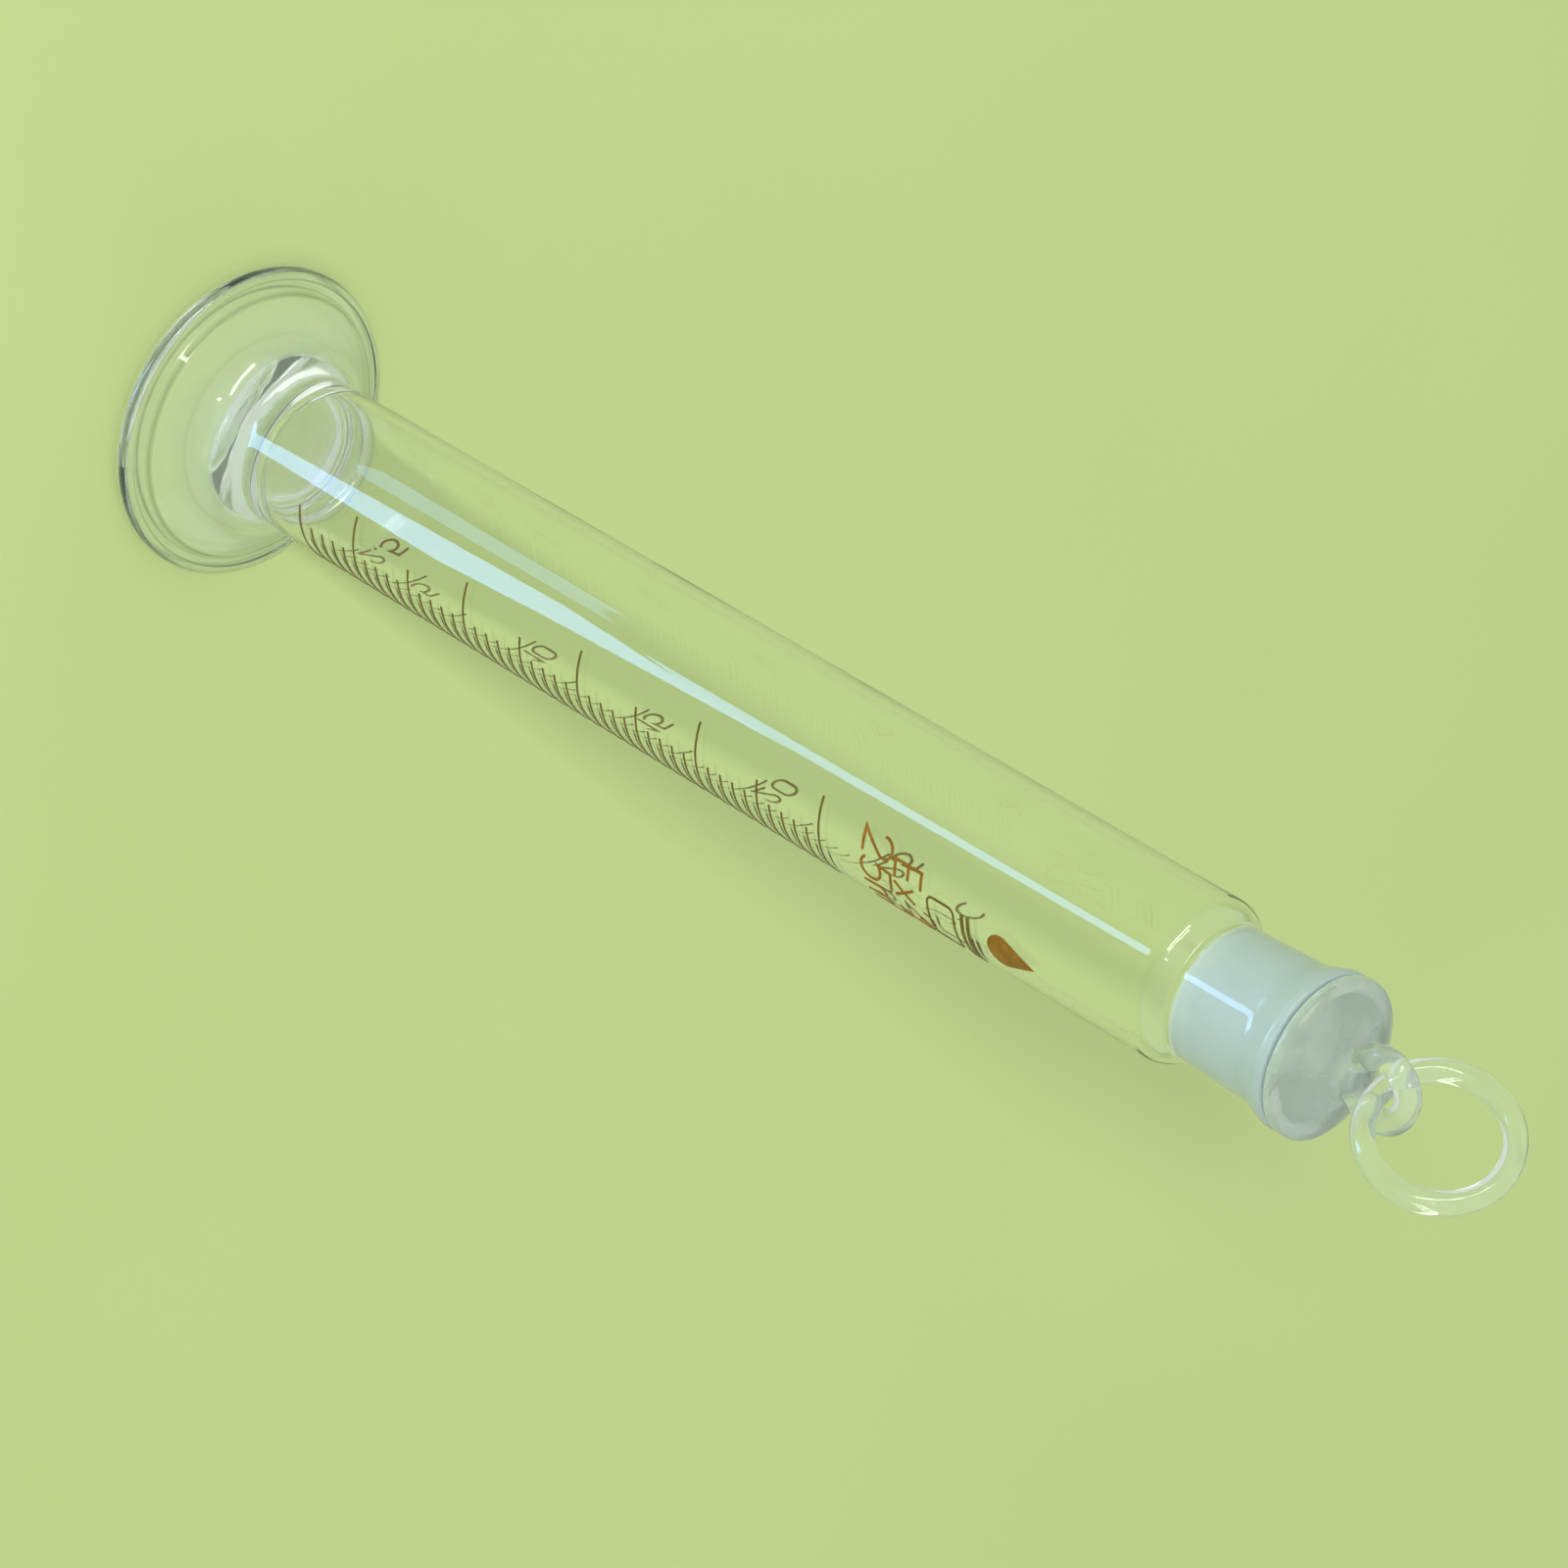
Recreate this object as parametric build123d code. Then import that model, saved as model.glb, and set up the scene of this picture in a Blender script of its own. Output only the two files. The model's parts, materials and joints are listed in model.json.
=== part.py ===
from build123d import *
import math
import os

# 25 ml stoppered graduated measuring cylinder, with a pressed glass foot, a ground neck,
# a ground stopper with an eye, and a loose glass ring linked through the eye.
# Millimetres. +Z runs up the tube from the foot to the stopper, and the origin is the centre
# of the foot's underside. Angles round the tube count from -Y, positive towards +X.

# ---- driving dimensions ----
TUBE_R = 10.0            # outside radius of the graduated tube
WALL = 1.2               # wall of the tube
FOOT_R = 20.6            # outside radius of the foot's bead
FOOT_TOP_Z = 9.6         # where the foot is fused to the tube
FLOOR_Z = 12.4           # inside bottom of the tube
FIRST_MARK_Z = 33.5      # height of the 5 ml line
MARK_PITCH = 20.55       # tube length that holds 5 ml
TUBE_END_Z = 163.0       # end of the straight tube, where the shoulder starts
NECK_Z = 168.6           # start of the ground socket
FLARE_Z = 178.5          # start of the socket's flared rim
RIM_Z = 182.6            # top of the rim
BORE_R = 7.25            # ground bore at its wide end
TAPER = 0.05             # radius lost per millimetre of depth, a 1:10 joint
JOINT_GAP = 0.06         # radial clearance of the stopper in its socket
HEAD_Z = 182.9           # underside of the stopper's head
HEAD_R = 9.6             # outside radius of the stopper's head
HEAD_TOP_Z = 187.2       # top of the head, under the eye
EYE_Z = 191.3            # centre of the eye, which is the ring's pivot
EYE_R = 3.6              # mean radius of the eye
EYE_ROD = 3.0            # diameter of the eye's rod
EYE_TURN = 35.0          # direction of the eye's plane, in degrees from +X
RING_R = 8.0             # mean radius of the loose ring
RING_ROD = 2.8           # diameter of the ring's rod
RING_TURN = -30.0        # direction of the ring's pivot axis, in degrees from +X
RING_LEAN = 16.5         # how far the resting ring leans from upright, in degrees
ENAMEL = 0.08            # thickness of the fired enamel print
STROKE = 0.28            # width of a division line

# ---- the print: places along and round the tube ----
MIN_STEP, MAX_STEP = -5, 40          # divisions from the 5 ml line: 2.5 ml up to 25 ml
STEPS_PER_PITCH = 10
MARK_CENTRE = 81.0                   # every division line is centred here, in degrees
HALF_SPAN = {"long": 61.0, "medium": 45.5, "short": 32.0}
FIGURE_START = 119.0                 # where each figure starts, in degrees
FIGURE_HEIGHT = 3.4
FIGURE_LIFT = 0.9                    # gap between a line and its figure
CAPACITY = {"height": 4.5, "start": 20.0, "z": 122.8}
TEMPERATURE = {"height": 4.1, "start": 31.0, "z": 128.0}
PEN = 0.38                           # stroke width of the figures
LETTER_GAP = 0.5                     # between glyphs, in millimetres
WORD_GAP = 0.35                      # between words, as a part of the height
PANEL = {"start": 44.0, "end": 84.0, "z": 133.0, "height": 4.4, "round": 1.0}
BARS = {"start": 44.0, "end": 92.0, "z": 138.6, "height": 0.5, "gap": 0.9}
DROPLET = {"centre": 55.0, "z": 144.6, "r": 2.1, "tip": 3.0}

os.makedirs("parts", exist_ok=True)


def turned(outline):
    """A solid of revolution about Z from a closed outline of (radius, height) edges."""
    return revolve(make_face(Plane.XZ * outline), axis=Axis.Z)


def polar(radius, degrees, z):
    """A point at an angle counted from -Y towards +X."""
    a = math.radians(degrees)
    return Vector(radius * math.sin(a), -radius * math.cos(a), z)


def dome_arc(edge, top_z):
    """The arc of a spherical dome, from its edge to its top on the axis."""
    rise = top_z - edge[1]
    sphere_r = (edge[0] ** 2 + rise ** 2) / (2 * rise)
    half = edge[0] / 2
    middle_z = top_z - sphere_r + math.sqrt(sphere_r ** 2 - half ** 2)
    return ThreePointArc(edge, (half, middle_z), (0, top_z))


def bore_radius(z):
    return BORE_R - (RIM_Z - z) * TAPER


# ---- glass body ----

def foot():
    """Pressed foot: hollow underside, rounded bead, one step, and a slope up to the tube."""
    rest_in, bead_in, bead_z = 17.4, 19.5, 2.2
    step_low, step_high, slope_mid, neck = (18.1, 2.6), (17.5, 3.3), (12.0, 7.3), (TUBE_R, FOOT_TOP_Z)
    hollow_z = 3.8
    outline = Curve() + [
        dome_arc((rest_in, 0), hollow_z),
        Line((rest_in, 0), (bead_in, 0)),
        ThreePointArc((bead_in, 0), (FOOT_R, bead_z / 2), (bead_in, bead_z)),
        Line((bead_in, bead_z), step_low),
        Line(step_low, step_high),
        ThreePointArc(step_high, (14.5, 4.95), slope_mid),
        ThreePointArc(slope_mid, (10.7, 8.3), neck),
        Line(neck, (0, FOOT_TOP_Z)),
        Line((0, FOOT_TOP_Z), (0, hollow_z)),
    ]
    return turned(outline)


def measuring_tube():
    """Straight tube with a closed, rounded floor, drawn in at the top to the neck."""
    inner = TUBE_R - WALL
    corner = 2.6
    neck_out, neck_in = 8.1, bore_radius(NECK_Z)
    shoulder_out, shoulder_in = (8.95, 166.7), (7.7, 166.3)
    outline = Curve() + [
        Line((0, FOOT_TOP_Z), (TUBE_R, FOOT_TOP_Z)),
        Line((TUBE_R, FOOT_TOP_Z), (TUBE_R, TUBE_END_Z)),
        ThreePointArc((TUBE_R, TUBE_END_Z), (9.72, 165.1), shoulder_out),
        ThreePointArc(shoulder_out, (8.3, 167.55), (neck_out, NECK_Z)),
        Line((neck_out, NECK_Z), (neck_in, NECK_Z)),
        ThreePointArc((neck_in, NECK_Z), (6.85, 167.3), shoulder_in),
        ThreePointArc(shoulder_in, (8.5, 164.7), (inner, TUBE_END_Z - 0.6)),
        Line((inner, TUBE_END_Z - 0.6), (inner, FLOOR_Z + corner)),
        ThreePointArc(
            (inner, FLOOR_Z + corner),
            (inner - corner * (1 - math.sqrt(0.5)), FLOOR_Z + corner * (1 - math.sqrt(0.5))),
            (inner - corner, FLOOR_Z),
        ),
        Line((inner - corner, FLOOR_Z), (0, FLOOR_Z)),
        Line((0, FLOOR_Z), (0, FOOT_TOP_Z)),
    ]
    return turned(outline)


def ground_socket():
    """Straight part of the ground joint's outer half."""
    outline = Polyline(
        (bore_radius(NECK_Z), NECK_Z), (8.1, NECK_Z), (8.5, FLARE_Z), (bore_radius(FLARE_Z), FLARE_Z),
        close=True,
    )
    return turned(outline)


def socket_rim():
    """Flared mouth of the socket, with a rounded lip."""
    lip_low, lip_out, lip_top = (9.5, 181.7), (9.45, 182.35), (9.1, RIM_Z)
    outline = Curve() + [
        Line((bore_radius(FLARE_Z), FLARE_Z), (8.5, FLARE_Z)),
        ThreePointArc((8.5, FLARE_Z), (8.8, 180.2), lip_low),
        ThreePointArc(lip_low, lip_out, lip_top),
        Line(lip_top, (BORE_R, RIM_Z)),
        Line((BORE_R, RIM_Z), (bore_radius(FLARE_Z), FLARE_Z)),
    ]
    return turned(outline)


# ---- stopper and ring ----

def stopper_plug():
    """Solid ground plug, tapered like its socket."""
    tip_z, chamfer = 169.6, 0.6
    tip_r = bore_radius(tip_z) - JOINT_GAP
    outline = Polyline(
        (0, tip_z), (tip_r - chamfer, tip_z), (tip_r, tip_z + chamfer),
        (BORE_R - JOINT_GAP, RIM_Z), (BORE_R - JOINT_GAP, HEAD_Z), (0, HEAD_Z),
        close=True,
    )
    return turned(outline)


def stopper_head():
    """Round head with a rounded edge and a low crown."""
    edge_r, edge_z, side_z, crown = 9.2, 183.25, 183.9, (8.4, 185.0)
    outline = Curve() + [
        Line((0, HEAD_Z), (edge_r, HEAD_Z)),
        ThreePointArc((edge_r, HEAD_Z), (9.48, 183.0), (HEAD_R, edge_z)),
        Line((HEAD_R, edge_z), (HEAD_R, side_z)),
        ThreePointArc((HEAD_R, side_z), (9.27, 184.65), crown),
        dome_arc(crown, HEAD_TOP_Z),
        Line((0, HEAD_TOP_Z), (0, HEAD_Z)),
    ]
    return turned(outline)


def stopper_eye(head):
    """Bent rod eye on a short flared stem, fused to the head's crown."""
    eye_plane = Plane(
        origin=(0, 0, EYE_Z),
        x_dir=(0, 0, 1),
        z_dir=(math.sin(math.radians(EYE_TURN)), -math.cos(math.radians(EYE_TURN)), 0),
    )
    loop = eye_plane * Torus(EYE_R, EYE_ROD / 2)
    stem_base, stem_waist = (3.6, 186.0), (1.8, 188.8)
    stem = turned(Curve() + [
        Line((0, stem_base[1]), stem_base),
        ThreePointArc(stem_base, (2.4, 187.7), stem_waist),
        Line(stem_waist, (0, stem_waist[1])),
        Line((0, stem_waist[1]), (0, stem_base[1])),
    ])
    hole = eye_plane * Cylinder(EYE_R - EYE_ROD / 2, 3 * EYE_ROD)
    return loop + (stem - hole) - head


def finger_ring():
    """Loose ring, whose rod passes through the middle of the eye."""
    turn, lean = math.radians(RING_TURN), math.radians(RING_LEAN)
    pivot_axis = Vector(math.cos(turn), math.sin(turn), 0)
    away = Vector(-math.sin(turn), math.cos(turn), 0)
    reach = Vector(0, 0, 1) * math.cos(lean) + away * math.sin(lean)
    centre = Vector(0, 0, EYE_Z) + reach * RING_R
    plane = Plane(origin=centre, x_dir=pivot_axis, z_dir=pivot_axis.cross(reach))
    return plane * Torus(RING_R, RING_ROD / 2)


# ---- enamel print ----

def arc_bar(start, end, z, height):
    """A strip of enamel on the tube, from one angle to another."""
    strip = Polyline(
        (TUBE_R, z - height / 2), (TUBE_R + ENAMEL, z - height / 2),
        (TUBE_R + ENAMEL, z + height / 2), (TUBE_R, z + height / 2),
        close=True,
    )
    face = make_face(Plane.XZ * strip)
    return Rot(0, 0, start - 90) * revolve(face, axis=Axis.Z, revolution_arc=end - start)


def mark_length(step):
    if step % STEPS_PER_PITCH == 0:
        return "long"
    return "medium" if step % (STEPS_PER_PITCH // 2) == 0 else "short"


def scale_lines(length):
    """All division lines of one length."""
    half = HALF_SPAN[length]
    return [
        arc_bar(MARK_CENTRE - half, MARK_CENTRE + half,
                FIRST_MARK_Z + step * MARK_PITCH / STEPS_PER_PITCH, STROKE)
        for step in range(MIN_STEP, MAX_STEP + 1) if mark_length(step) == length
    ]


def on_tube(sketch, degrees, z):
    """A flat sketch pressed onto the tube as a layer of enamel, upright at one angle."""
    outward = polar(1, degrees, 0)
    plane = Plane(
        origin=polar(TUBE_R, degrees, z), x_dir=(-outward.Y, outward.X, 0), z_dir=outward
    )
    depth, length = 2.0, 4 * sketch.bounding_box().size.Y
    shell = Cylinder(TUBE_R + ENAMEL, length) - Cylinder(TUBE_R, length)
    block = extrude(plane * sketch, amount=depth, both=True)
    return list((block & Pos(0, 0, z) * shell).solids())


def line(*points):
    return [Line(a, b) for a, b in zip(points, points[1:])]


def bow(start, middle, end):
    return [ThreePointArc(start, middle, end)]


def glyph_strokes(glyph):
    """The pen strokes of one glyph in a box one unit high."""
    small = 0.68          # height of the small letters
    shapes = {
        "0": bow((0, 0.3), (0.3, 0), (0.6, 0.3)) + line((0.6, 0.3), (0.6, 0.7))
        + bow((0.6, 0.7), (0.3, 1), (0, 0.7)) + line((0, 0.7), (0, 0.3)),
        "1": line((0, 0.74), (0.26, 1), (0.26, 0)),
        "2": bow((0, 0.72), (0.32, 1), (0.57, 0.6)) + line((0.57, 0.6), (0, 0), (0.62, 0)),
        "5": line((0.56, 1), (0.1, 1), (0.05, 0.56)) + bow((0.05, 0.56), (0.6, 0.33), (0, 0.08)),
        "m": line((0, small), (0, 0)) + bow((0, 0.46), (0.2, small), (0.4, 0.46))
        + line((0.4, 0.46), (0.4, 0)) + bow((0.4, 0.46), (0.6, small), (0.8, 0.46))
        + line((0.8, 0.46), (0.8, 0)),
        "l": line((0, 0), (0, 1)),
        "E": line((0.52, 0), (0, 0), (0, 1), (0.52, 1)) + line((0, 0.5), (0.44, 0.5)),
        "x": line((0, 0), (0.46, small)) + line((0, small), (0.46, 0)),
        "\u00b0": bow((0, 0.86), (0.14, 1), (0.28, 0.86)) + bow((0.28, 0.86), (0.14, 0.72), (0, 0.86)),
        "C": bow((0.58, 0.86), (0, 0.5), (0.58, 0.14)),
        ".": line((0, 0), (0, 0.06)),
    }
    return shapes[glyph]


def written(glyph, height):
    """One glyph as a flat sketch with an even pen width and round ends."""
    edges = [edge.scale(height) for edge in glyph_strokes(glyph)]
    sketch = trace(edges, line_width=PEN)
    for edge in edges:
        for end in (edge @ 0, edge @ 1):
            sketch += Pos(end.X, end.Y) * Circle(PEN / 2)
    return sketch


def lettering(text, height, start, z):
    """A line of figures, each glyph turned to its own place on the tube."""
    pieces, angle = [], start
    for glyph in text:
        if glyph == " ":
            angle += math.degrees(height * WORD_GAP / TUBE_R)
            continue
        sketch = written(glyph, height)
        box = sketch.bounding_box()
        turn = math.degrees(box.size.X / TUBE_R)
        pieces += on_tube(Pos(-box.center().X, 0) * sketch, angle + turn / 2, z)
        angle += turn + math.degrees(LETTER_GAP / TUBE_R)
    return pieces


def scale_figures():
    """The figure at 2.5 ml and at every 5 ml line."""
    values = [("2.5", -0.5)] + [(str(5 * (i + 1)), i) for i in range(5)]
    pieces = []
    for text, pitches in values:
        z = FIRST_MARK_Z + pitches * MARK_PITCH + FIGURE_LIFT
        pieces += lettering(text, FIGURE_HEIGHT, FIGURE_START, z)
    return pieces


def blank_panel():
    """A plain rounded frame with nothing in it."""
    middle = (PANEL["start"] + PANEL["end"]) / 2
    width = math.radians(PANEL["end"] - PANEL["start"]) * TUBE_R
    outer = RectangleRounded(width, PANEL["height"], PANEL["round"])
    inner = RectangleRounded(
        width - 2 * STROKE, PANEL["height"] - 2 * STROKE, PANEL["round"] - STROKE
    )
    return on_tube(outer - inner, middle, PANEL["z"] + PANEL["height"] / 2)


def plain_bars():
    """Two plain rules under the droplet."""
    return [
        arc_bar(BARS["start"], BARS["end"], BARS["z"] + i * BARS["gap"], BARS["height"])
        for i in range(2)
    ]


def droplet():
    """A plain filled droplet, pointed towards the neck."""
    r, tip = DROPLET["r"], DROPLET["tip"] + DROPLET["r"]
    side = r * math.cos(math.asin(r / tip))
    touch = r * r / tip
    shape = make_face(Curve() + [
        Line((-side, touch), (0, tip)),
        Line((0, tip), (side, touch)),
        ThreePointArc((side, touch), (0, -r), (-side, touch)),
    ])
    return on_tube(shape, DROPLET["centre"], DROPLET["z"])


def main():
    head = stopper_head()
    nodes = {
        "foot": foot(),
        "measuring_tube": measuring_tube(),
        "ground_socket": ground_socket(),
        "socket_rim": socket_rim(),
        "scale_lines_long": Compound(children=scale_lines("long")),
        "scale_lines_medium": Compound(children=scale_lines("medium")),
        "scale_lines_short": Compound(children=scale_lines("short")),
        "scale_figures": Compound(children=scale_figures()),
        "capacity_figures": Compound(
            children=lettering("25ml", CAPACITY["height"], CAPACITY["start"], CAPACITY["z"])
        ),
        "temperature_figures": Compound(
            children=lettering(
                "Ex 20°C", TEMPERATURE["height"], TEMPERATURE["start"], TEMPERATURE["z"]
            )
        ),
        "blank_panel": Compound(children=blank_panel()),
        "plain_bars": Compound(children=plain_bars()),
        "droplet_mark": Compound(children=droplet()),
        "stopper_plug": stopper_plug(),
        "stopper_head": head,
        "stopper_eye": stopper_eye(head),
        "finger_ring": finger_ring(),
    }
    for name, shape in nodes.items():
        export_step(shape, f"parts/{name}.step")
        print(name, len(shape.solids()), "solids", round(shape.volume, 2), "mm3")


main()
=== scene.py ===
# %% [markdown]
# # A stoppered measuring cylinder in Blender
#
# The object is a 25 ml measuring cylinder: a pressed glass foot fused to a graduated tube, a
# ground neck, a ground stopper with a glass eye, and a loose glass ring linked through it.
# The CAD model is loaded first and stays fixed. It gives every place and every size, and
# Blender gives the glass its seamless skin, its finishes and its light.

# %% Load the CAD frame
import json
import math

import bmesh
import bpy
from mathutils import Matrix, Vector


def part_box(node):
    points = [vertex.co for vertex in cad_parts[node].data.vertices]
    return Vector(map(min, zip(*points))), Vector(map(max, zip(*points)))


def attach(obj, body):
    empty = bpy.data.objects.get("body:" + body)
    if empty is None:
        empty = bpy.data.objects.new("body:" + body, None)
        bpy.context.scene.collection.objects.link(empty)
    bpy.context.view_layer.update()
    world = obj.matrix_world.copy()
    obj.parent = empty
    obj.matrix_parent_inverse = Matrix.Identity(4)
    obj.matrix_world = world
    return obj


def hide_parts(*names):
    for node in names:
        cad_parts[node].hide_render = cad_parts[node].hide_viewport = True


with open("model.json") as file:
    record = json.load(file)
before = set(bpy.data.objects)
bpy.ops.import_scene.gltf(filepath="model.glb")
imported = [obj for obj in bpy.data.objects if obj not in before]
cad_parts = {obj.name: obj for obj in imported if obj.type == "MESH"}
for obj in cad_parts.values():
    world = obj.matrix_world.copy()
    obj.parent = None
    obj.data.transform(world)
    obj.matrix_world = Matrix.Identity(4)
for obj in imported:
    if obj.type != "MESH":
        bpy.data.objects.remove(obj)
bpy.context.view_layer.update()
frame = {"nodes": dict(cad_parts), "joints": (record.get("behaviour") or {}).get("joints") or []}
MM = 0.001
print("CAD nodes:", sorted(frame["nodes"]))

# %% [markdown]
# ## Sizes read from the frame
#
# Each value below is a corner of a CAD node's box, so the glass pieces made here land on the
# CAD parts without any fitting. Outlines are written in millimetres, as a glassblower's drawing
# is, and are scaled to metres when a mesh is made.

# %% Sizes from the frame
foot_box, tube_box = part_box("foot"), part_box("measuring_tube")
socket_box, rim_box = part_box("ground_socket"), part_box("socket_rim")
head_box, plug_box, eye_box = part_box("stopper_head"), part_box("stopper_plug"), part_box("stopper_eye")
foot_r, foot_top = foot_box[1].x / MM, foot_box[1].z / MM
tube_r, shoulder_top = round(tube_box[1].x / MM, 1), tube_box[1].z / MM
flare_z, rim_r, rim_z = rim_box[0].z / MM, rim_box[1].x / MM, rim_box[1].z / MM
plug_r, plug_low = plug_box[1].x / MM, plug_box[0].z / MM
head_r, head_low, head_high = head_box[1].x / MM, head_box[0].z / MM, head_box[1].z / MM
eye_top = eye_box[1].z / MM
joints = {joint["name"]: joint for joint in frame["joints"]}
pivot = Vector(joints["ring_swing"]["pos_m"])
print("foot radius", round(foot_r, 2), "rim top", round(rim_z, 2), "eye top", round(eye_top, 2))
print("ground socket from", round(socket_box[0].z / MM, 2), "to", round(socket_box[1].z / MM, 2))

# %% [markdown]
# ## The camera
#
# The cylinder is looked at from about 37 degrees above its foot, with a long lens, and the
# camera is rolled so that the tube runs across the picture from its foot at the upper left to
# its stopper at the lower right. The camera's place is given in millimetres from the foot, and
# its aim by two angles and a roll, because three angles are easier to adjust than a matrix.

# %% Camera
CAMERA_PLACE = Vector((0, -503.69, 484.48)) * MM
CAMERA_PAN, CAMERA_TILT, CAMERA_ROLL = 0.5377, -37.148, 120.938
LENS_MM, SENSOR_MM = 126.26, 36.0


def aimed(pan, tilt, roll):
    """A camera's rotation that looks along +Y, turned by pan, raised by tilt, then rolled."""
    p, t = math.radians(pan), math.radians(tilt)
    look = Vector((math.sin(p) * math.cos(t), math.cos(p) * math.cos(t), math.sin(t)))
    upright = look.to_track_quat("-Z", "Y").to_matrix()
    return (upright @ Matrix.Rotation(math.radians(roll), 3, "Z")).to_4x4()


camera = bpy.data.objects.new("camera", bpy.data.cameras.new("camera"))
camera.data.lens, camera.data.sensor_width = LENS_MM, SENSOR_MM
camera_turn = aimed(CAMERA_PAN, CAMERA_TILT, CAMERA_ROLL)
camera.matrix_world = Matrix.Translation(CAMERA_PLACE) @ camera_turn
bpy.context.collection.objects.link(camera)
bpy.context.scene.camera = camera
print("camera", round(CAMERA_PLACE.length, 3), "m from the foot")

# %% [markdown]
# ## Arithmetic on sockets
#
# A finish is easier to read as arithmetic than as a list of node links. `Value` wraps one
# socket and turns Python's operators into Math nodes, so `1 - mask` in the script is a Subtract
# node in the material.

# %% Shader maths
class Value:
    """One output socket that can be used in arithmetic."""

    def __init__(self, board, socket):
        self.board, self.socket = board, socket

    def maths(self, operation, *inputs):
        return self.board.node("ShaderNodeMath", {"operation": operation}, inputs=inputs)

    def __add__(self, other):
        return self.maths("ADD", self, other)

    def __radd__(self, other):
        return self.maths("ADD", other, self)

    def __sub__(self, other):
        return self.maths("SUBTRACT", self, other)

    def __rsub__(self, other):
        return self.maths("SUBTRACT", other, self)

    def __mul__(self, other):
        return self.maths("MULTIPLY", self, other)

    def __rmul__(self, other):
        return self.maths("MULTIPLY", other, self)

    def __pow__(self, other):
        return self.maths("POWER", self, other)

    def __abs__(self):
        return self.maths("ABSOLUTE", self)

    def above(self, limit, softness):
        """0 below a limit and 1 above it, over a soft edge."""
        return ((self - limit) * (1 / softness) + 0.5).clamped()

    def clamped(self):
        return self.maths("MAXIMUM", self.maths("MINIMUM", self, 1.0), 0.0)


# %% [markdown]
# ## One method for every node
#
# `Board.node` adds any node to a material's or a world's tree: its settings are set first, such
# as a ramp's stops, because some settings change which sockets a node has. `Finish` is a board
# for a material, with short names for the few nodes that every finish here uses. Patterns read
# Object coordinates, so they stay on the glass when a body moves.

# %% Node boards
def set_stops(ramp, stops):
    """Gives a colour ramp its (position, colour) stops."""
    while len(ramp) < len(stops):
        ramp.new(0.5)
    for element, (position, colour) in zip(ramp, stops):
        element.position, element.color = position, colour


class Board:
    """An empty node tree that nodes are added to."""

    def __init__(self, tree):
        self.tree = tree
        tree.nodes.clear()

    def plug_in(self, socket, value):
        """Links a Value to a socket, or sets the socket's own number or colour."""
        if isinstance(value, Value):
            self.tree.links.new(value.socket, socket)
        else:
            socket.default_value = value

    def node(self, kind, settings=None, out=0, inputs=(), **sockets):
        """Any node: its settings, then its sockets in order or by name, with _ for a space."""
        made = self.tree.nodes.new(kind)
        for key, value in (settings or {}).items():
            if key == "stops":
                set_stops(made.color_ramp.elements, value)
            else:
                setattr(made, key, value)
        for socket, value in zip(made.inputs, inputs):
            self.plug_in(socket, value)
        for key, value in sockets.items():
            self.plug_in(made.inputs[key.replace("_", " ")], value)
        return Value(self, made.outputs[out]) if len(made.outputs) else None


class Finish(Board):
    """A material, with the shaders that are added to it."""

    def __init__(self, name):
        self.material = bpy.data.materials.new(name)
        self.material.use_nodes = True
        super().__init__(self.material.node_tree)
        self.place = self.node("ShaderNodeTexCoord", out="Object")

    def noise(self, scale, detail=2.0, stretch=(1, 1, 1)):
        """Soft noise, from 0 to 1, with features of about 1/scale metres."""
        vector = self.node("ShaderNodeMapping", Vector=self.place, Scale=stretch)
        return self.node("ShaderNodeTexNoise", Vector=vector, Scale=scale, Detail=detail)

    def axis(self, name):
        return self.node("ShaderNodeSeparateXYZ", out=name, Vector=self.place)

    def ramp(self, factor, *stops):
        return self.node("ShaderNodeValToRGB", {"stops": stops}, Fac=factor)

    def bump(self, height, strength, distance):
        return self.node("ShaderNodeBump", Height=height, Strength=strength, Distance=distance)

    def shader(self, **sockets):
        return self.node("ShaderNodeBsdfPrincipled", **sockets)

    def blend(self, factor, low, high):
        return self.node("ShaderNodeMixShader", inputs=(factor, low, high))

    def done(self, surface):
        self.node("ShaderNodeOutputMaterial", Surface=surface)
        print("finish", self.material.name, len(self.tree.nodes), "nodes")
        return self.material


# %% [markdown]
# ## Clear glass
#
# Laboratory glass is nearly colourless, with a faint cool tint where a ray travels far inside
# it. Full transmission on the Principled shader gives this, and the tint is very pale because
# it is applied again at every surface. Drawn tubing is smooth but not perfect: long draw lines
# run up the tube, so the bump's noise is stretched along Z, and a few smudges are rougher.

# %% Clear glass
GLASS_IOR = 1.48
CLEAR_TINT = (0.985, 0.997, 0.992, 1)
GLASS_WAVE_DEPTH = 0.0006


def clear_shader(finish, wave=0.05, tint=CLEAR_TINT):
    draw_lines = finish.noise(220, 2.0, (1, 1, 0.05))
    ripple = finish.noise(90, 1.0, (1, 1, 0.6))
    smudge = finish.noise(45, 4.0).above(0.62, 0.2)
    normal = finish.bump(draw_lines * 0.5 + ripple, wave, GLASS_WAVE_DEPTH)
    return finish.shader(
        Base_Color=tint, Roughness=0.015 + smudge * 0.05, IOR=GLASS_IOR,
        Transmission_Weight=1.0, Normal=normal,
    )


print("clear glass bends light by an index of", GLASS_IOR)

# %% [markdown]
# ## Bloom
#
# Glass that has been pressed, melted or handled often has a thin cloudy bloom. It is a thin white
# layer over clear glass, so it is a mix of the clear shader with a matt white one that keeps a
# glossy coat. The mix is streaky, because a bloom follows the way the glass was worked.

# %% Milky glass
BLOOM_WHITE = (0.68, 0.80, 0.66, 1)
RING_WAVE, RING_BLOOM = 0.12, 0.10


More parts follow.
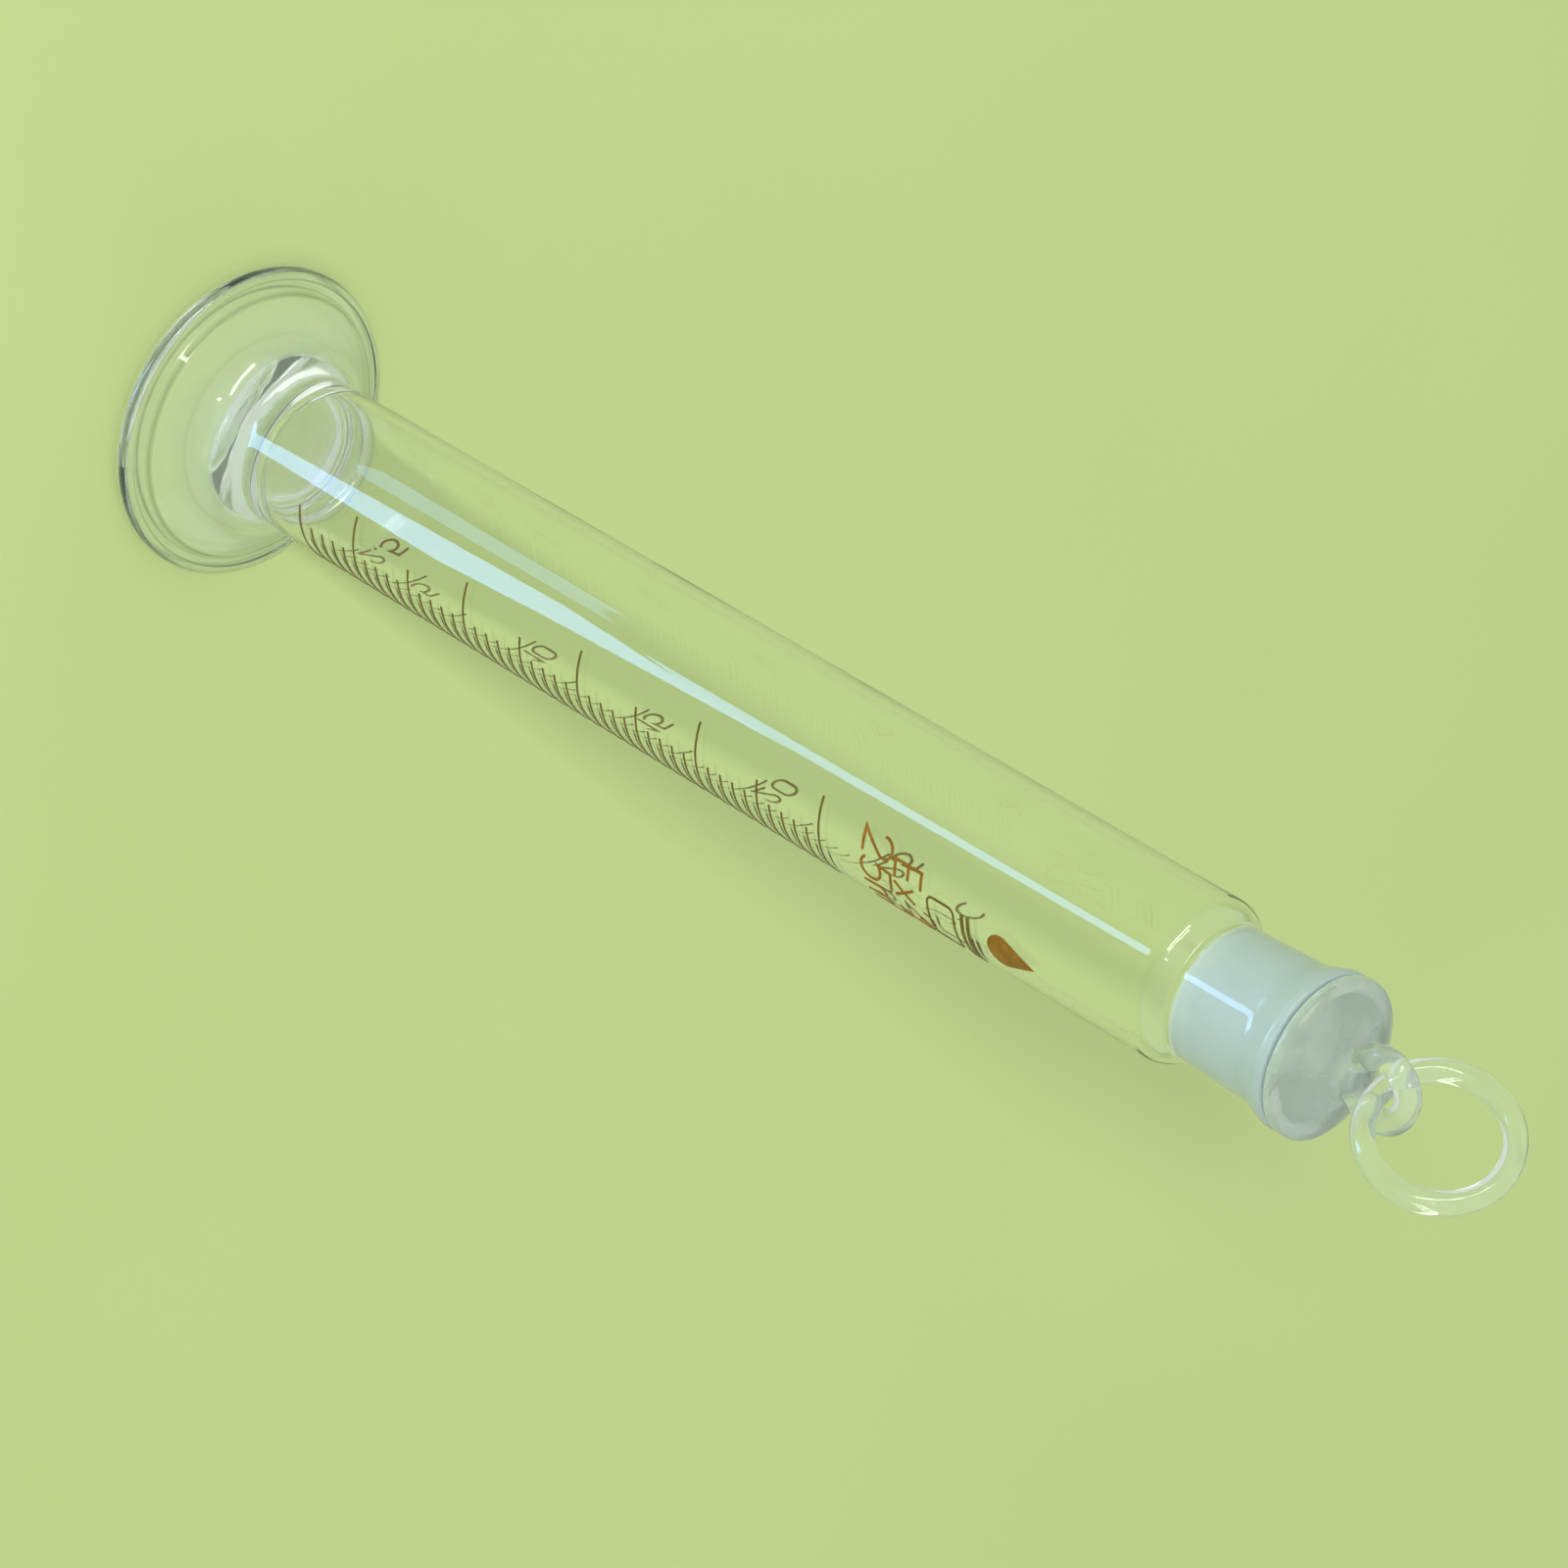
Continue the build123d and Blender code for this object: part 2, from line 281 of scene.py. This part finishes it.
def milky_shader(finish, wave, bloom_amount, tint=CLEAR_TINT):
    """Clear glass with a thin white bloom on it, as worked and handled glass has."""
    streaky = finish.noise(160, 4.0, (1, 1, 0.35))
    normal = finish.bump(streaky + finish.noise(420, 2.0) * 0.3, wave, GLASS_WAVE_DEPTH)
    bloom = finish.shader(
        Base_Color=BLOOM_WHITE, Roughness=0.25, Coat_Weight=0.5, Coat_Roughness=0.05, Normal=normal
    )
    cover = bloom_amount * (0.4 + streaky * 1.2)
    return finish.blend(cover, clear_shader(finish, wave, tint), bloom)


def milky_glass(name, wave, bloom_amount):
    finish = Finish(name)
    return finish.done(milky_shader(finish, wave, bloom_amount))


# %% [markdown]
# ## The cylinder's and the stopper's clear parts
#
# One material covers the whole cylinder, so masks made from height and from the distance to the
# axis say where its finish changes. The foot has a faint bloom and its seal to the tube a
# stronger one. The foot's steps and edge are seen through much more glass than the rest, and the
# dark lines that bent light shows there are painted on as narrow rings of painted shade. On the
# stopper, the pressed head is cloudier than the eye.

# %% Zones of bloom and painted shade on the foot's edges
# A zone's limit is a height and the width of its soft edge, in metres.
FOOT_BLOOM, FOOT_END = 0.05, (11 * MM, 0.006)
SEAL_BLOOM, SEAL_START, SEAL_END = 0.22, (5.5 * MM, 0.004), (14 * MM, 0.004)
HEAD_BLOOM, EYE_BLOOM, CROWN_END = 0.36, 0.18, (188.5 * MM, 0.002)
CYLINDER_WAVE, STOPPER_WAVE = 0.05, 0.1
# The dark tint and the height where it stops are painted shade: dark lines painted over the foot's thick
# edges.
PAINTED_SHADE_TINT, PAINTED_SHADE_END = (0.34, 0.38, 0.30, 1), (7.5 * MM, 0.001)
# Each ring of painted shade has a radius and a half width in millimetres, and a strength.
PAINTED_SHADE_RINGS = [(20.5, 0.35, 0.8), (19.4, 0.2, 0.8), (17.75, 0.35, 0.9), (11.6, 0.5, 0.3)]


def blown_shader(finish):
    """The cylinder's glass: clear in the tube, with a bloom at its seal and painted shade on the foot's
    edges.
    """
    x, y, z = finish.axis("X"), finish.axis("Y"), finish.axis("Z")
    distance = (x * x + y * y) ** 0.5
    foot = 1 - z.above(*FOOT_END)
    seal = z.above(*SEAL_START) * (1 - z.above(*SEAL_END))
    # Painted shade: narrow dark rings over the foot's steps and edge, standing in for the dark lines
    # that light bent through thick glass shows.
    edges = sum(
        (1 - abs(distance - radius * MM) * (1 / (width * MM))).clamped() * strength
        for radius, width, strength in PAINTED_SHADE_RINGS
    )
    uneven = 0.6 + finish.noise(120, 2.0) * 0.8
    painted_shade = edges * (1 - z.above(*PAINTED_SHADE_END)) * uneven
    tint = finish.ramp(painted_shade, (0, CLEAR_TINT), (1, PAINTED_SHADE_TINT))
    return milky_shader(finish, CYLINDER_WAVE, foot * FOOT_BLOOM + seal * SEAL_BLOOM, tint)


def worked_shader(finish):
    """The stopper's glass above the ground: cloudy in the pressed head, clearer in the eye."""
    eye = finish.axis("Z").above(*CROWN_END)
    return milky_shader(finish, STOPPER_WAVE, HEAD_BLOOM - eye * (HEAD_BLOOM - EYE_BLOOM))


print("darker rings on the foot:", len(PAINTED_SHADE_RINGS))

# %% [markdown]
# ## Ground glass
#
# The ground joint is another finish of the same glass. Grinding leaves a fine matt grain that
# scatters light, so it is partly a rough white and partly a rough glass that lets light pass.
# The grain has turning marks round the joint. The real neck is ground on its inside only and
# smooth on its outside. Light through two ground walls renders too dark, so the grain is on the
# outer skin here, and a clear coat over it gives the neck its smooth wall.

# %% Ground joint
GROUND_SHADE, GROUND_TINT = (0.86, 0.94, 0.95, 1), (0.94, 0.985, 0.98, 1)
# The plug's white is lighter than the neck's as painted light: it makes up for the shade that the plug
# lies in, inside the neck and under the head.
NECK_WHITE, PLUG_PAINTED_LIGHT_WHITE = (0.60, 0.70, 0.73, 1), (0.78, 0.87, 0.84, 1)
COAT_ROUGHNESS = 0.04
GROUND_FADE, GROUND_WANDER = 0.0003, 0.0005


def ground_shader(finish, coat, white):
    grain = finish.noise(9000, 3.0)
    turning = finish.noise(1400, 2.0, (0.12, 0.12, 1))
    patch = finish.noise(350, 3.0) * 0.7 + turning * 0.3
    colour = finish.ramp(patch, (0.35, GROUND_SHADE), (0.65, GROUND_TINT))
    normal = finish.bump(grain + turning * 0.6, 0.35, 0.00006)
    scattering = finish.shader(
        Base_Color=white, Roughness=0.6, Normal=normal, Coat_Weight=coat,
        Coat_Roughness=COAT_ROUGHNESS,
    )
    passing = finish.shader(
        Base_Color=colour, Roughness=0.34 + 0.16 * grain, IOR=GLASS_IOR,
        Transmission_Weight=1.0, Normal=normal, Coat_Weight=coat, Coat_Roughness=COAT_ROUGHNESS,
    )
    return finish.blend(0.48 + 0.3 * patch, passing, scattering)


def part_ground(name, low, high, coat, white, rest):
    """Glass that is ground between two heights and has another finish elsewhere."""
    finish = Finish(name)
    wavy = finish.axis("Z") + (finish.noise(500, 2.0) - 0.5) * GROUND_WANDER
    zone = wavy.above(low * MM, GROUND_FADE) * (1 - wavy.above(high * MM, GROUND_FADE))
    return finish.done(finish.blend(zone, rest(finish), ground_shader(finish, coat, white)))


# %% [markdown]
# ## The three glass materials
#
# Each loose piece gets one material. The cylinder's is ground from the top of the shoulder to
# past the rim, the stopper's from its tip to just under the head, and the ring's has only a
# light bloom. Only the neck has a clear coat over its grain, because the plug is ground outside.

# %% Materials of the three pieces
cylinder_glass = part_ground(
    "cylinder_glass", shoulder_top - 0.4, rim_z + 0.5, 1.0, NECK_WHITE, blown_shader
)
# The stopper's grain takes the lighter white, which is painted light against the shade round the plug.
stopper_glass = part_ground("stopper_glass", 0, head_low + 0.35, 0.0, PLUG_PAINTED_LIGHT_WHITE, worked_shader)
ring_glass = milky_glass("ring_glass", RING_WAVE, RING_BLOOM)

# %% [markdown]
# ## The printed enamel
#
# The scale is screen printed in brown enamel and fired into the glass. Thick strokes look
# orange-brown, where the glass shows a little light through them, and thin lines look darker.
# The colour is broken up by noise, because the pigment lies unevenly, and the surface has the
# soft gloss of a glaze. The strokes themselves are CAD nodes, so only their material changes.

# %% Enamel
THIN_INK = (0.085, 0.055, 0.006, 1), (0.20, 0.125, 0.012, 1)
THICK_INK = (0.17, 0.070, 0.004, 1), (0.40, 0.165, 0.009, 1)


def enamel(name, ink):
    finish = Finish(name)
    patch = finish.noise(700, 4.0) * 0.7 + finish.noise(3500, 2.0) * 0.3
    colour = finish.ramp(patch, (0.3, ink[0]), (0.7, ink[1]))
    normal = finish.bump(finish.noise(5000, 3.0), 0.25, 0.00003)
    return finish.done(finish.shader(
        Base_Color=colour, Roughness=0.3 + 0.2 * patch, Normal=normal, Specular_IOR_Level=0.4
    ))


line_enamel, figure_enamel = enamel("line_enamel", THIN_INK), enamel("figure_enamel", THICK_INK)
ENAMELLED = {
    line_enamel: [
        "scale_lines_long", "scale_lines_medium", "scale_lines_short", "blank_panel", "plain_bars",
    ],
    figure_enamel: ["scale_figures", "capacity_figures", "temperature_figures", "droplet_mark"],
}
for material, nodes in ENAMELLED.items():
    for node in nodes:
        frame["nodes"][node].data.materials.clear()
        frame["nodes"][node].data.materials.append(material)
print("enamelled", sum(len(nodes) for nodes in ENAMELLED.values()), "CAD nodes")

# %% [markdown]
# ## Outlines for the lathe
#
# A glassblower turns the work in a lathe, and `bmesh.ops.spin` does the same with an outline.
# The outline is a list of corners, each with the radius that its edge is melted to, because
# worked glass has no sharp edges. A Bevel modifier could round them too, but it gives every
# corner one width unless each is weighted. Long straight runs get extra rings: smooth shading
# bends its normals over a whole face, and on a face as long as the tube that would show as a
# dark band.

# %% Rounded and ringed outlines
MELT_STEPS = 9
LONGEST_FACE, RING_NEAR_CORNER, SHORT_RUN = 4.0, 0.2, 1.0


def melted(corners):
    """The outline through (radius, height, melt radius) corners, with each corner rounded."""
    points = []
    for i, (r, z, melt) in enumerate(corners):
        corner = Vector((r, z))
        if not melt:
            points.append(corner)
            continue
        before = (Vector(corners[i - 1][:2]) - corner).normalized()
        after = (Vector(corners[i + 1][:2]) - corner).normalized()
        half = before.angle(after) / 2
        centre = corner + (before + after).normalized() * melt / math.sin(half)
        start = corner + before * melt / math.tan(half) - centre
        end = corner + after * melt / math.tan(half) - centre
        for k in range(MELT_STEPS + 1):
            points.append(centre + start.slerp(end, k / MELT_STEPS).normalized() * melt)
    return points


def ringed(points):
    """Adds rings to long straight runs, so that smooth shading stays flat along them."""
    dense = points[:1]
    for low, high in zip(points, points[1:]):
        length = (high - low).length
        if length > SHORT_RUN:
            middle = length - 2 * RING_NEAR_CORNER
            inner = max(1, math.ceil(middle / LONGEST_FACE))
            dense += [
                low.lerp(high, (RING_NEAR_CORNER + middle * k / inner) / length)
                for k in range(inner + 1)
            ]
        dense.append(high)
    return dense


print("a melted corner has", MELT_STEPS, "facets")

# %% [markdown]
# ## The lathe
#
# The outline is spun round Z with its first and last rings merged. Its ends lie on the axis, so
# the copies of each end are merged into a pole, and the flat slivers there are dissolved. Every
# piece is checked as it is made: on a closed skin, each edge has two faces.

# %% Turning and finishing a mesh
TURN_STEPS = 160
MERGE_WITHIN, SLIVER = 0.000004, 0.000001


def finished(name, bm, material):
    """Closes the seams and poles of a mesh, turns its faces outwards and makes its object."""
    bmesh.ops.remove_doubles(bm, verts=bm.verts, dist=MERGE_WITHIN)
    bmesh.ops.dissolve_degenerate(bm, dist=SLIVER, edges=bm.edges)
    bmesh.ops.recalc_face_normals(bm, faces=bm.faces)
    for face in bm.faces:
        face.smooth = True
    open_edges = sum(1 for edge in bm.edges if len(edge.link_faces) != 2)
    mesh = bpy.data.meshes.new(name)
    bm.to_mesh(mesh)
    bm.free()
    mesh.materials.append(material)
    piece = bpy.data.objects.new(name, mesh)
    bpy.context.collection.objects.link(piece)
    print(name, len(mesh.polygons), "faces,", open_edges, "open edges")
    return piece


def spun(bm, geometry, steps):
    """Spins vertices and edges once round Z."""
    bmesh.ops.spin(
        bm, geom=geometry, cent=(0, 0, 0), axis=(0, 0, 1), angle=math.tau, steps=steps,
        use_merge=True,
    )


def turned(name, corners, material):
    """A closed solid of revolution about Z, from an outline in millimetres."""
    bm = bmesh.new()
    verts = [bm.verts.new((p.x * MM, 0, p.y * MM)) for p in ringed(melted(corners))]
    edges = [bm.edges.new(pair) for pair in zip(verts, verts[1:])]
    spun(bm, verts + edges, TURN_STEPS)
    return finished(name, bm, material)


print("turned pieces have", TURN_STEPS, "sides")

# %% [markdown]
# ## The cylinder's glass
#
# Foot, tube, socket and rim are fused on the real object, so they are one closed skin here: two
# glass pieces face to face would show a dark seam. The outline starts at the middle of the
# hollow underside, runs out to the bead that the foot stands on, up over the step and the slope,
# along the tube and over the shoulder to the flared rim, and then back down the ground bore and
# the tube's inside to the rounded floor.

# %% Foot, tube, neck and rim in one skin
WALL = 1.2
FLOOR_Z = 12.4
HOLLOW_Z = 3.8
SHOULDER_Z = 165.2
TAPER = 0.05
SEAT_GAP = 0.06
inner_r = tube_r - WALL
mouth_r = plug_r + SEAT_GAP
bore_low = mouth_r - (rim_z - shoulder_top) * TAPER

cylinder_outline = [
    # The hollow underside, and the bead that the foot stands on.
    (0, HOLLOW_Z, 0), (9, HOLLOW_Z, 38), (17.4, 0, 0.5),
    # The foot's edge, its fine groove and its step.
    (foot_r, 0, 0.8), (foot_r, 1.9, 1.2),
    (19.5, 2.25, 0.15), (19.3, 2.05, 0.15), (18.3, 2.3, 0.3), (17.5, 3.4, 0.6),
    # The slope, up to the seal with the tube.
    (12.6, 6.0, 9.0), (tube_r, foot_top + 1.4, 5.0),
    # The shoulder, the neck and the flared rim.
    (tube_r, SHOULDER_Z, 3.2), (8.1, 167.6, 1.3),
    (8.5, flare_z, 5.0), (rim_r, 181.6, 1.2), (rim_r, rim_z, 0.45),
    # The ground bore, the tube's inside and its floor.
    (mouth_r, rim_z, 0.3), (bore_low, shoulder_top - 1.1, 1.2),
    (inner_r, SHOULDER_Z - 0.5, 3.0), (inner_r, FLOOR_Z, 3.4), (0, FLOOR_Z, 0),
]
cylinder = turned("cylinder_glass", cylinder_outline, cylinder_glass)
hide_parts("foot", "measuring_tube", "ground_socket", "socket_rim")
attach(cylinder, "cylinder")

# %% [markdown]
# ## Rings of bent rod
#
# The eye and the loose ring are both round rod bent into a loop. A torus primitive would do for a
# perfect one, but hand-sealed rod swells and thins, so a circle is spun and each section is then
# scaled a little about its own middle.

# %% A loop of rod
def rod_loop(name, centre, along, up, mean_r, rod_r, material, turns=96, sides=28, sway=0.0):
    """A ring of round rod about a centre, in the plane of two directions."""
    bm = bmesh.new()
    circle = bmesh.ops.create_circle(bm, segments=sides, radius=rod_r)["verts"]
    bmesh.ops.rotate(bm, verts=circle, matrix=Matrix.Rotation(math.radians(90), 3, "X"))
    bmesh.ops.translate(bm, verts=circle, vec=(mean_r, 0, 0))
    spun(bm, circle + list(bm.edges), turns)
    if sway:
        for vert in bm.verts:
            turn = math.atan2(vert.co.y, vert.co.x)
            middle = Vector((math.cos(turn), math.sin(turn), 0)) * mean_r
            swell = 1 + sway * (math.sin(2 * turn + 0.6) + 0.6 * math.sin(5 * turn))
            vert.co = middle + (vert.co - middle) * swell
    facing = Matrix((along, up, along.cross(up))).transposed().to_4x4()
    bmesh.ops.transform(bm, matrix=Matrix.Translation(centre) @ facing, verts=bm.verts)
    return finished(name, bm, material)


# %% [markdown]
# ## Welding glass to glass
#
# Where the eye runs into the head, the real glass has flowed together. A Boolean union would
# leave a sharp line there, so the parts are welded by a voxel remesh, which makes them one skin,
# and then smoothed a little, as a flame does to a joint. The modifiers are applied here, so that
# the finished piece is a plain mesh.

# %% Weld and melt
def fused(name, parts, grain, rounds):
    """Welds closed parts into one skin and melts the joints smooth."""
    bm = bmesh.new()
    for part in parts:
        bm.from_mesh(part.data)
    mesh = bpy.data.meshes.new(name)
    bm.to_mesh(mesh)
    bm.free()
    raw = bpy.data.objects.new(name + "_raw", mesh)
    bpy.context.collection.objects.link(raw)
    weld = raw.modifiers.new("weld", "REMESH")
    weld.mode, weld.voxel_size, weld.use_smooth_shade = "VOXEL", grain, True
    melt = raw.modifiers.new("melt", "SMOOTH")
    melt.factor, melt.iterations = 0.5, rounds
    applied = raw.evaluated_get(bpy.context.evaluated_depsgraph_get())
    shape = bpy.data.meshes.new_from_object(applied)
    material = parts[0].data.materials[0]
    for part in [*parts, raw]:
        bpy.data.objects.remove(part)
    shape.materials.clear()
    shape.materials.append(material)
    shape.polygons.foreach_set("use_smooth", [True] * len(shape.polygons))
    piece = bpy.data.objects.new(name, shape)
    bpy.context.collection.objects.link(piece)
    print(name, len(shape.polygons), "faces")
    return piece


# %% [markdown]
# ## The stopper
#
# The plug and the head are turned like the cylinder, with the same taper as the bore. The plug
# is solid. The eye is a loop of rod about the joint's pivot, turned in plan, and its lower part
# sinks into the head's crown. The two are then welded.

# %% Plug, head and eye, fused
EYE_ROD, EYE_TURN = 3.0, 35.0
CROWN_TOP = 188.9
WELD_GRAIN, MELT_ROUNDS = 0.00016, 5
tip_r = plug_r - (head_low - plug_low) * TAPER
stopper_outline = [
    # The ground plug, from its tip up.
    (0, plug_low, 0), (tip_r, plug_low, 0.6), (plug_r, head_low, 0.25),
    # The head's edge and its slope.
    (head_r, head_low, 0.5), (head_r, 184.5, 0.9), (8.3, 185.15, 1.0),
    # The crown that the eye stands on.
    (4.6, head_high - 0.55, 6.0), (2.9, head_high - 0.1, 1.8), (1.75, CROWN_TOP, 0.4),
    (0, CROWN_TOP, 0),
]
turned_stopper = turned("stopper_turned", stopper_outline, stopper_glass)
eye_mean_r = eye_top - EYE_ROD / 2 - pivot.z / MM
eye_along = Vector((math.cos(math.radians(EYE_TURN)), math.sin(math.radians(EYE_TURN)), 0))
eye_rod = rod_loop(
    "eye_rod", pivot, eye_along, Vector((0, 0, 1)), eye_mean_r * MM, EYE_ROD / 2 * MM,
    stopper_glass,
)
stopper = fused("stopper_glass", [turned_stopper, eye_rod], WELD_GRAIN, MELT_ROUNDS)
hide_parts("stopper_plug", "stopper_head", "stopper_eye")
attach(stopper, "stopper")

# %% [markdown]
# ## The loose ring
#
# The ring is a rod bent round and sealed to itself through the eye, so its thickness wanders a
# little. It is a hair thinner than the CAD ring, so that its thickest place stays inside the CAD
# box. Its height comes from the CAD ring's box and its axis from the joint that it swings on.

# %% Ring
RING_ROD, RING_LEAN = 2.8, 16.5
RING_SWAY, RING_SLIM = 0.018, 0.97
ring_axis = Vector(joints["ring_swing"]["axis"]).normalized()
away = Vector((0, 0, 1)).cross(ring_axis)
lean = math.radians(RING_LEAN)
reach = Vector((0, 0, math.cos(lean))) + away * math.sin(lean)
ring_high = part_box("finger_ring")[1].z
ring_mean_r = (ring_high - pivot.z - RING_ROD / 2 * MM) / (2 * math.cos(lean))
ring = rod_loop(
    "ring_glass", pivot + reach * ring_mean_r, ring_axis, reach, ring_mean_r,
    RING_ROD / 2 * RING_SLIM * MM, ring_glass, turns=144, sides=36, sway=RING_SWAY,
)
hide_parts("finger_ring")
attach(ring, "ring")
print("ring mean radius", round(ring_mean_r / MM, 2), "mm")

# %% [markdown]
# ## The floor
#
# The floor is a plain pale sheet, a tenth of a millimetre below the foot. Mirror reflections
# pass through it, so that an upright tube can mirror the lights that hang below it, and it
# throws no shadow, so that those lights can shine up through it.

# %% Floor
FLOOR_SIDE, FLOOR_GAP = 6.0, 0.0001
FLOOR_COLOUR, FLOOR_SHADE = (0.61, 0.715, 0.315, 1), (0.57, 0.68, 0.285, 1)


def floor_finish():
    finish = Finish("pale_sheet")
    colour = finish.ramp(finish.noise(5, 2.0), (0.3, FLOOR_SHADE), (0.7, FLOOR_COLOUR))
    return finish.done(finish.shader(Base_Color=colour, Roughness=0.85, Specular_IOR_Level=0.2))


def make_floor():
    bm = bmesh.new()
    bmesh.ops.create_grid(bm, x_segments=1, y_segments=1, size=FLOOR_SIDE / 2)
    bmesh.ops.translate(bm, verts=bm.verts, vec=(0, 0, -FLOOR_GAP))
    mesh = bpy.data.meshes.new("floor")
    bm.to_mesh(mesh)
    bm.free()
    mesh.materials.append(floor_finish())
    floor = bpy.data.objects.new("floor", mesh)
    bpy.context.collection.objects.link(floor)
    floor.visible_glossy = False
    floor.visible_shadow = False


make_floor()
print("floor", FLOOR_SIDE, "m wide")

# %% [markdown]
# ## The room that the glass mirrors
#
# The room is a plain pale dome. Only mirror reflections see a version with more contrast: a
# bright top, a dark horizon and a floor-coloured bottom. Every rounded edge of the glass sweeps
# its reflection across that horizon, and this draws the thin dark and light rings that make a
# foot, a rim or a rod read as glass.

# %% World
ROOM_COLOUR, ROOM_STRENGTH = (0.84, 0.90, 0.82, 1), 0.80
MIRROR_STOPS = [
    (0.0, (0.57, 0.70, 0.32, 1)), (0.42, (0.56, 0.68, 0.31, 1)), (0.475, (0.10, 0.14, 0.08, 1)),
    (0.53, (0.14, 0.18, 0.14, 1)), (0.61, (0.60, 0.72, 0.68, 1)), (0.95, (0.95, 1.0, 1.0, 1)),
]


def make_world():
    world = bpy.data.worlds.new("studio")
    world.use_nodes = True
    sky = Board(world.node_tree)
    place = sky.node("ShaderNodeTexCoord", out="Generated")
    height = sky.node("ShaderNodeSeparateXYZ", out="Z", Vector=place) * 0.5 + 0.5
    mirror_room = sky.node("ShaderNodeValToRGB", {"stops": MIRROR_STOPS}, Fac=height)
    glossy = sky.node("ShaderNodeLightPath", out="Is Glossy Ray")
    reflected = sky.node("ShaderNodeLightPath", out="Is Reflection Ray")
    room = sky.node(
        "ShaderNodeMix", {"data_type": "RGBA"}, out="Result",
        Factor=glossy * reflected, A=ROOM_COLOUR, B=mirror_room,
    )
    background = sky.node("ShaderNodeBackground", Color=room, Strength=ROOM_STRENGTH)
    sky.node("ShaderNodeOutputWorld", Surface=background)
    bpy.context.scene.world = world


make_world()
bpy.context.scene.view_settings.view_transform = "Standard"
print("room strength", ROOM_STRENGTH)

# %% [markdown]
# ## Soft light
#
# Glass shows what is round it more than it shows itself, so the lights matter as much as the
# finish. Three lights fall on the floor and throw the shadow: a small key from the front, a wide
# one from above and a fill from behind. None is mirrored in the glass, where their square
# outlines would show.

# %% Soft lights
# Each light has a name, a place, an aim, a side in metres and a power in watts.
SOFT_LIGHTS = [
    ("front_key", (-0.06, -1.05, 0.87), (0, 0.1, 0), 0.08, 6.5),
    ("soft_key", (-0.7, -0.5, 1.9), (0, 0.2, 0), 1.3, 0.8),
    ("far_fill", (0.5, 0.95, 0.8), (0.1, 0.4, 0), 0.6, 0.8),
]


def area_light(name, place, target, size, power, colour=(1, 1, 1)):
    light = bpy.data.lights.new(name, "AREA")
    light.shape, light.size, light.size_y = "RECTANGLE", size[0], size[1]
    light.energy, light.color = power, colour
    lamp = bpy.data.objects.new(name, light)
    lamp.location = place
    lamp.rotation_euler = (Vector(target) - Vector(place)).to_track_quat("-Z", "Y").to_euler()
    bpy.context.collection.objects.link(lamp)
    print("light", name, power, "W")
    return lamp


for name, place, target, side, power in SOFT_LIGHTS:
    area_light(name, place, target, (side, side), power).visible_glossy = False

# %% [markdown]
# ## Light under the foot, and a spark
#
# Clear glass passes light on to the floor below it, which a render's plain glass shadow leaves
# out. A very thin disc of light between the foot and the floor gives it back. The spark is a
# long narrow light that the floor ignores: it is there to be mirrored, as the short bright
# highlights on the foot, the shoulder and the ring.

# %% Under-foot light and spark
UNDER_FOOT_DIAMETER, UNDER_FOOT_POWER = 0.0405, 0.0011
SPARK_PLACE, SPARK_AIM = (-0.53, -0.79, 0.55), (0, 0, 0.02)
SPARK_SIZE, SPARK_POWER = (0.75, 0.09), 3.0
under_foot = area_light(
    "under_foot", (0, 0, -FLOOR_GAP / 2), (0, 0, -1), (UNDER_FOOT_DIAMETER, UNDER_FOOT_DIAMETER),
    UNDER_FOOT_POWER,
)
under_foot.data.shape = "DISK"
spark = area_light("spark", SPARK_PLACE, SPARK_AIM, SPARK_SIZE, SPARK_POWER)
spark.visible_diffuse = False

# %% [markdown]
# ## The streaks on the tube
#
# A long bright streak runs up a glass tube that stands by a window, with a fainter one beside
# it. An upright tube seen from above mirrors what lies below its foot, so the strips that make
# the streaks hang level under the floor and shine upwards. Two strips end to end make the long
# streak and a third the faint one. A strip's direction in plan decides how its streak runs over
# the tube, and its width how wide the streak is.

# %% Strip lights
STREAK_TINT = (0.30, 0.52, 1.0)
STREAK_LEVEL = -0.40
# Each strip has a name, its two ends in plan, a width in metres and a power in watts.
STREAKS = [
    ("streak_low", (0.227, -0.377), (0.065, -0.617), 0.17, 1.75),
    ("streak_high", (0.065, -0.617), (-0.01, -0.95), 0.13, 1.35),
    ("streak_side", (-0.18, -0.44), (-0.22, -0.54), 0.18, 0.26),
]


def strip_light(name, start, end, width, power):
    """A flat strip that shines upwards, between two places in plan."""
    start, end = Vector((*start, STREAK_LEVEL)), Vector((*end, STREAK_LEVEL))
    size = (width, (end - start).length)
    lamp = area_light(name, (start + end) / 2, end, size, power, STREAK_TINT)
    along, down = (end - start).normalized(), Vector((0, 0, -1))
    lamp.rotation_euler = Matrix((along.cross(down), along, down)).transposed().to_euler()


for streak in STREAKS:
    strip_light(*streak)
